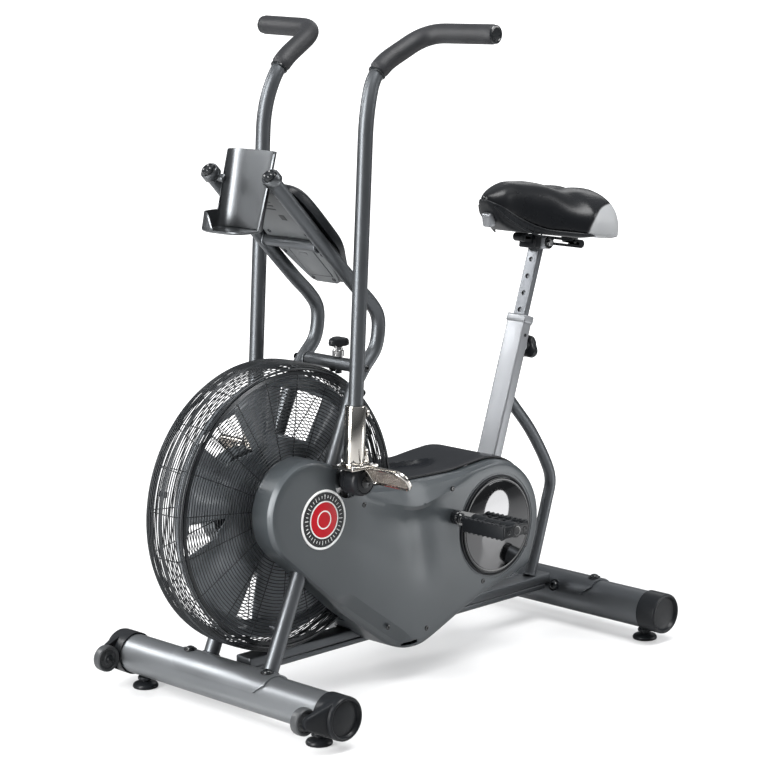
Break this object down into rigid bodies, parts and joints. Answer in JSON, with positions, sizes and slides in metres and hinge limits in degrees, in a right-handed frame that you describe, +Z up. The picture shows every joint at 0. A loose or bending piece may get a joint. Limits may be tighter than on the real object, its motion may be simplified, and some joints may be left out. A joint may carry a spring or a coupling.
{
  "type": "air bike",
  "caption": "Fan-braked exercise bike: two swinging handle arms and the pedals share one drive, under an adjustable saddle, with a caged fan in front.",
  "frame": {"origin": "on the floor, under the middle of the bike's bounding box", "axes": "+X forward towards the fan, +Y to the rider's left, +Z up"},
  "size_m": [1.1468, 0.633, 1.2686],
  "materials": {
    "silver_paint": "metallic silver grey paint",
    "dark_paint": "metallic charcoal paint",
    "black_plastic": "satin black moulding",
    "black_wire": "black coated wire",
    "shroud_plastic": "satin slate grey moulding",
    "chrome": "polished",
    "mirror_disc": "smoked mirror",
    "steel": "turned",
    "aluminium": "satin silver",
    "rubber": "matte",
    "foam": "matte foam",
    "vinyl": "glossy black vinyl",
    "screen": "dull display window"
  },
  "bodies": {
    "frame": {"front_stabilizer": "silver_paint", "rear_stabilizer": "dark_paint", "front_saddle_plate": "silver_paint", "rear_saddle_plate": "silver_paint", "front_cap_L": "black_plastic", "front_cap_R": "black_plastic", "rear_cap_L": "black_plastic", "rear_cap_R": "black_plastic", "base_beam": "dark_paint", "stay_L": "dark_paint", "stay_R": "dark_paint", "seat_mast": "aluminium", "brace_tube": "dark_paint", "crank_bracket": "dark_paint", "crank_bearing_L": "steel", "crank_bearing_R": "steel", "console_fork": "dark_paint", "console_housing": "black_plastic", "console_screen": "screen", "bottle_holder": "silver_paint", "guard_L": "black_wire", "guard_R": "black_wire", "shroud_L": "shroud_plastic", "shroud_R": "shroud_plastic", "fan_axle": "steel", "drive_belt": "rubber"},
    "crank": {"crank_axle": "steel", "drive_pulley": "aluminium", "crank_disc_L": "mirror_disc", "crank_disc_R": "mirror_disc", "crank_arm_L": "black_plastic", "crank_arm_R": "black_plastic"},
    "pedal_L": {"pedal_L": "black_plastic"},
    "pedal_R": {"pedal_R": "black_plastic"},
    "fan": {"fan_rotor": "black_plastic", "fan_hub": "aluminium"},
    "arm_L": {"arm_tube_L": "dark_paint", "arm_grip_L": "foam", "arm_base_L": "chrome", "pivot_shaft_L": "black_plastic"},
    "arm_R": {"arm_tube_R": "dark_paint", "arm_grip_R": "foam", "arm_base_R": "chrome", "pivot_shaft_R": "black_plastic"},
    "link_L": {"link_rod_L": "steel"},
    "link_R": {"link_rod_R": "steel"},
    "seat_post": {"seat_post": "aluminium", "seat_clamp": "aluminium"},
    "saddle": {"saddle_pad": "vinyl", "saddle_base": "black_plastic", "saddle_rail": "black_plastic"},
    "seat_pin": {"seat_knob": "black_plastic"},
    "fork_knob": {"console_knob": "black_plastic"},
    "console_key": {"console_button": "rubber"},
    "wheel_L": {"transport_wheel_L": "black_plastic"},
    "wheel_R": {"transport_wheel_R": "black_plastic"},
    "front_foot_L": {"front_foot_L": "rubber"},
    "front_foot_R": {"front_foot_R": "rubber"},
    "rear_foot_L": {"rear_foot_L": "rubber"},
    "rear_foot_R": {"rear_foot_R": "rubber"}
  },
  "joints": [
    {"name": "crank_turn", "type": "hinge", "parent": "frame", "child": "crank", "pos_m": [-0.1975, 0, 0.27], "axis": [0, 1, 0], "continuous": true},
    {"name": "pedal_L_spin", "type": "hinge", "parent": "crank", "child": "pedal_L", "pos_m": [-0.07386, 0.2215, 0.31017], "axis": [0, 1, 0], "continuous": true},
    {"name": "pedal_R_spin", "type": "hinge", "parent": "crank", "child": "pedal_R", "pos_m": [-0.32114, -0.2215, 0.22983], "axis": [0, 1, 0], "continuous": true},
    {"name": "fan_spin", "type": "hinge", "parent": "frame", "child": "fan", "pos_m": [0.2995, 0, 0.381], "axis": [0, 1, 0], "continuous": true},
    {"name": "arm_L_swing", "type": "hinge", "parent": "frame", "child": "arm_L", "pos_m": [0.204, 0.138, 0.432], "axis": [0, 1, 0], "range_deg": [-12, 12]},
    {"name": "arm_R_swing", "type": "hinge", "parent": "frame", "child": "arm_R", "pos_m": [0.204, -0.138, 0.432], "axis": [0, 1, 0], "range_deg": [-12, 12]},
    {"name": "link_L_pivot", "type": "hinge", "parent": "arm_L", "child": "link_L", "pos_m": [0.19, 0.0892, 0.348], "axis": [0, 1, 0], "range_deg": [-12, 12]},
    {"name": "link_R_pivot", "type": "hinge", "parent": "arm_R", "child": "link_R", "pos_m": [0.19, -0.0892, 0.348], "axis": [0, 1, 0], "range_deg": [-12, 12]},
    {"name": "seat_height", "type": "slide", "parent": "frame", "child": "seat_post", "axis": [-0.3256, 0, 0.9455], "range_m": [-0.1, 0.1]},
    {"name": "saddle_fore_aft", "type": "slide", "parent": "seat_post", "child": "saddle", "axis": [0.9877, 0, 0.1564], "range_m": [-0.03, 0.03]},
    {"name": "seat_pin_pull", "type": "slide", "parent": "frame", "child": "seat_pin", "axis": [-0.9455, 0, -0.3256], "range_m": [0, 0.008], "stiffness_N_per_m": 800, "springref_m": -0.005},
    {"name": "fork_knob_turn", "type": "hinge", "parent": "frame", "child": "fork_knob", "pos_m": [0.1385, 0.015, 0.63], "axis": [0, 0, 1], "range_deg": [-180, 180]},
    {"name": "console_key_press", "type": "slide", "parent": "frame", "child": "console_key", "axis": [0.7255, 0, -0.6882], "range_m": [0, 0.0015], "stiffness_N_per_m": 400, "springref_m": -0.001},
    {"name": "wheel_L_spin", "type": "hinge", "parent": "frame", "child": "wheel_L", "pos_m": [0.485, 0.277, 0.0655], "axis": [0, 1, 0], "continuous": true},
    {"name": "wheel_R_spin", "type": "hinge", "parent": "frame", "child": "wheel_R", "pos_m": [0.485, -0.277, 0.0655], "axis": [0, 1, 0], "continuous": true},
    {"name": "front_foot_L_turn", "type": "hinge", "parent": "frame", "child": "front_foot_L", "pos_m": [0.4165, 0.2445, 0.03], "axis": [0, 0, 1], "range_deg": [-180, 180]},
    {"name": "front_foot_R_turn", "type": "hinge", "parent": "frame", "child": "front_foot_R", "pos_m": [0.4165, -0.2445, 0.03], "axis": [0, 0, 1], "range_deg": [-180, 180]},
    {"name": "rear_foot_L_turn", "type": "hinge", "parent": "frame", "child": "rear_foot_L", "pos_m": [-0.4985, 0.2445, 0.03], "axis": [0, 0, 1], "range_deg": [-180, 180]},
    {"name": "rear_foot_R_turn", "type": "hinge", "parent": "frame", "child": "rear_foot_R", "pos_m": [-0.4985, -0.2445, 0.03], "axis": [0, 0, 1], "range_deg": [-180, 180]}
  ],
  "couplings": [
    {"joint": "fan_spin", "follows": "crank_turn", "ratio": 3},
    {"joint": "arm_R_swing", "follows": "arm_L_swing", "ratio": -1},
    {"joint": "link_L_pivot", "follows": "arm_L_swing", "ratio": -1},
    {"joint": "link_R_pivot", "follows": "arm_L_swing", "ratio": 1}
  ]
}
